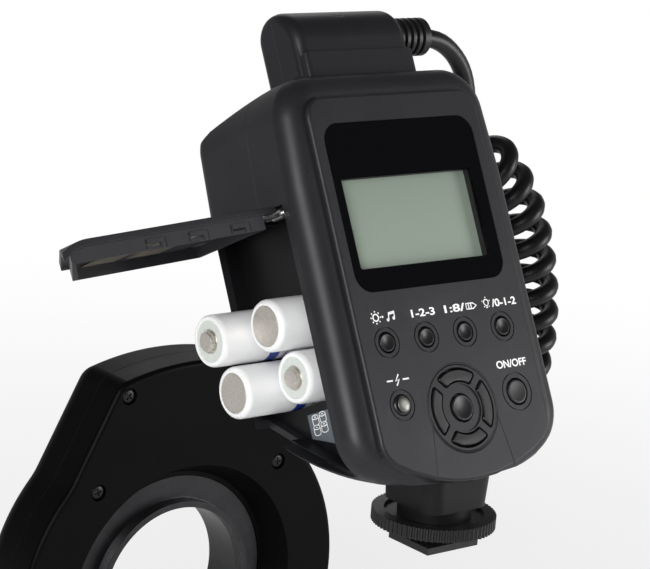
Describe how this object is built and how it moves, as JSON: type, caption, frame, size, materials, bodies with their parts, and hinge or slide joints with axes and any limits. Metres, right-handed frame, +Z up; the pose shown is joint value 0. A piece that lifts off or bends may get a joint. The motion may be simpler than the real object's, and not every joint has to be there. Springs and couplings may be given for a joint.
{
  "type": "macro ring flash",
  "caption": "Macro ring flash with a leaning control unit on a hot-shoe foot, an open battery door, a curly cord and a ring-shaped flash head for a lens.",
  "frame": {"origin": "centre of the hot-shoe foot's underside", "axes": "+Z up, +X the viewer's right, +Y from the viewer towards the lens"},
  "size_m": [0.2116, 0.1575, 0.2526],
  "materials": {
    "casing": "fine matt grain",
    "inner_plastic": "satin",
    "contact_metal": "bright",
    "hinge_steel": "bright",
    "battery_can": "white sleeve over a nickel can",
    "label": "printed",
    "window": "gloss",
    "display": "grey-green",
    "key_rubber": "matt",
    "board": "green",
    "capacitor_sleeve": "gloss",
    "cord_rubber": "satin",
    "foot_plastic": "satin",
    "washer_metal": "satin",
    "flash_glass": "ribbed, clear",
    "reflector": "polished",
    "tube_glass": "clear",
    "lamp_glass": "clear",
    "button_plastic": "matt, ridged",
    "screw_steel": "blackened",
    "ring_metal": "black anodised"
  },
  "bodies": {
    "frame": {"panel_shell": "casing", "lens_side_shell": "casing", "cord_block_front": "casing", "cord_block_rear": "casing", "block_plug": "casing", "neck": "casing", "head_rear_cover": "casing", "head_front_cover": "casing", "battery_bay": "inner_plastic", "pad_bezel": "inner_plastic", "display_gasket": "inner_plastic", "bay_contacts": "contact_metal", "shoe_contacts": "contact_metal", "door_hinge_pin": "hinge_steel", "polarity_plate": "label", "lcd_window": "window", "lcd_module": "display", "key_board": "board", "main_board": "board", "head_board": "board", "flash_capacitor": "capacitor_sleeve", "cord_lead": "cord_rubber", "cord_coil": "cord_rubber", "cord_tail": "cord_rubber", "strain_relief": "cord_rubber", "head_gland": "cord_rubber", "hot_shoe_foot": "foot_plastic", "flash_window_left": "flash_glass", "flash_window_right": "flash_glass", "reflector_left": "reflector", "reflector_right": "reflector", "flash_tubes": "tube_glass", "focus_lamps": "lamp_glass", "head_screws": "screw_steel"},
    "door_arm": {"door_hinge_arm": "contact_metal"},
    "door": {"door_shell": "casing", "door_inner_plate": "inner_plastic", "door_contacts": "contact_metal"},
    "battery_far_high": {"battery_far_high": "battery_can"},
    "battery_near_high": {"battery_near_high": "battery_can"},
    "battery_far_low": {"battery_far_low": "battery_can"},
    "battery_near_low": {"battery_near_low": "battery_can"},
    "light_key": {"light_key": "key_rubber"},
    "mode_key": {"mode_key": "key_rubber"},
    "ratio_key": {"ratio_key": "key_rubber"},
    "lamp_key": {"lamp_key": "key_rubber"},
    "pilot_key": {"pilot_key": "key_rubber"},
    "power_key": {"power_key": "key_rubber"},
    "up_key": {"up_key": "key_rubber"},
    "down_key": {"down_key": "key_rubber"},
    "left_key": {"left_key": "key_rubber"},
    "right_key": {"right_key": "key_rubber"},
    "set_key": {"set_key": "key_rubber"},
    "clamp_washer": {"clamp_washer": "washer_metal"},
    "lock_wheel": {"lock_wheel": "foot_plastic"},
    "lock_pin": {"lock_pin": "hinge_steel"},
    "release_button_left": {"release_button_left": "button_plastic"},
    "release_button_right": {"release_button_right": "button_plastic"},
    "adapter_ring": {"adapter_ring": "ring_metal"}
  },
  "joints": [
    {"name": "door_swing", "type": "hinge", "parent": "frame", "child": "door_arm", "pos_m": [-0.0368, 0.04335, 0.08373], "axis": [0, -0.891, 0.454], "range_deg": [0, 86.45]},
    {"name": "door_latch_slide", "type": "slide", "parent": "door_arm", "child": "door", "axis": [0.9981, 0.0281, 0.0552], "range_m": [0, 0.002]},
    {"name": "battery_far_high_slide", "type": "slide", "parent": "frame", "child": "battery_far_high", "axis": [1, 0, 0], "range_m": [0, 0.0208]},
    {"name": "battery_near_high_slide", "type": "slide", "parent": "frame", "child": "battery_near_high", "axis": [1, 0, 0], "range_m": [0, 0.0112]},
    {"name": "battery_far_low_slide", "type": "slide", "parent": "frame", "child": "battery_far_low", "axis": [1, 0, 0], "range_m": [0, 0.0153]},
    {"name": "battery_near_low_slide", "type": "slide", "parent": "frame", "child": "battery_near_low", "axis": [1, 0, 0], "range_m": [0, 0.0068]},
    {"name": "light_key_press", "type": "slide", "parent": "frame", "child": "light_key", "axis": [0, 0.891, -0.454], "range_m": [0, 0.0007], "stiffness_N_per_m": 400},
    {"name": "mode_key_press", "type": "slide", "parent": "frame", "child": "mode_key", "axis": [0, 0.891, -0.454], "range_m": [0, 0.0007], "stiffness_N_per_m": 400},
    {"name": "ratio_key_press", "type": "slide", "parent": "frame", "child": "ratio_key", "axis": [0, 0.891, -0.454], "range_m": [0, 0.0007], "stiffness_N_per_m": 400},
    {"name": "lamp_key_press", "type": "slide", "parent": "frame", "child": "lamp_key", "axis": [0, 0.891, -0.454], "range_m": [0, 0.0007], "stiffness_N_per_m": 400},
    {"name": "pilot_key_press", "type": "slide", "parent": "frame", "child": "pilot_key", "axis": [0, 0.891, -0.454], "range_m": [0, 0.0007], "stiffness_N_per_m": 400},
    {"name": "power_key_press", "type": "slide", "parent": "frame", "child": "power_key", "axis": [0, 0.891, -0.454], "range_m": [0, 0.0007], "stiffness_N_per_m": 400},
    {"name": "up_key_press", "type": "slide", "parent": "frame", "child": "up_key", "axis": [0, 0.891, -0.454], "range_m": [0, 0.0007], "stiffness_N_per_m": 400},
    {"name": "down_key_press", "type": "slide", "parent": "frame", "child": "down_key", "axis": [0, 0.891, -0.454], "range_m": [0, 0.0007], "stiffness_N_per_m": 400},
    {"name": "left_key_press", "type": "slide", "parent": "frame", "child": "left_key", "axis": [0, 0.891, -0.454], "range_m": [0, 0.0007], "stiffness_N_per_m": 400},
    {"name": "right_key_press", "type": "slide", "parent": "frame", "child": "right_key", "axis": [0, 0.891, -0.454], "range_m": [0, 0.0007], "stiffness_N_per_m": 400},
    {"name": "set_key_press", "type": "slide", "parent": "frame", "child": "set_key", "axis": [0, 0.891, -0.454], "range_m": [0, 0.0007], "stiffness_N_per_m": 400},
    {"name": "wheel_travel", "type": "slide", "parent": "frame", "child": "clamp_washer", "axis": [0, 0, -1], "range_m": [0, 0.0014]},
    {"name": "wheel_turn", "type": "hinge", "parent": "clamp_washer", "child": "lock_wheel", "pos_m": [0, 0, 0.007], "axis": [0, 0, -1], "range_deg": [0, 340]},
    {"name": "lock_pin_drop", "type": "slide", "parent": "frame", "child": "lock_pin", "axis": [0, 0, -1], "range_m": [0, 0.0014]},
    {"name": "release_left_press", "type": "slide", "parent": "frame", "child": "release_button_left", "axis": [1, 0, 0], "range_m": [0, 0.002], "stiffness_N_per_m": 500},
    {"name": "release_right_press", "type": "slide", "parent": "frame", "child": "release_button_right", "axis": [-1, 0, 0], "range_m": [0, 0.002], "stiffness_N_per_m": 500},
    {"name": "adapter_turn", "type": "hinge", "parent": "frame", "child": "adapter_ring", "pos_m": [0, 0.129, -0.055], "axis": [0, 1, 0], "continuous": true}
  ],
  "couplings": [
    {"joint": "battery_far_high_slide", "follows": "door_swing", "m_per_rad": 0.013785},
    {"joint": "battery_near_high_slide", "follows": "door_swing", "m_per_rad": 0.007422},
    {"joint": "battery_far_low_slide", "follows": "door_swing", "m_per_rad": 0.01014},
    {"joint": "battery_near_low_slide", "follows": "door_swing", "m_per_rad": 0.004506},
    {"joint": "wheel_travel", "follows": "wheel_turn", "m_per_rad": 0.0002359},
    {"joint": "lock_pin_drop", "follows": "wheel_turn", "m_per_rad": 0.0002359}
  ]
}
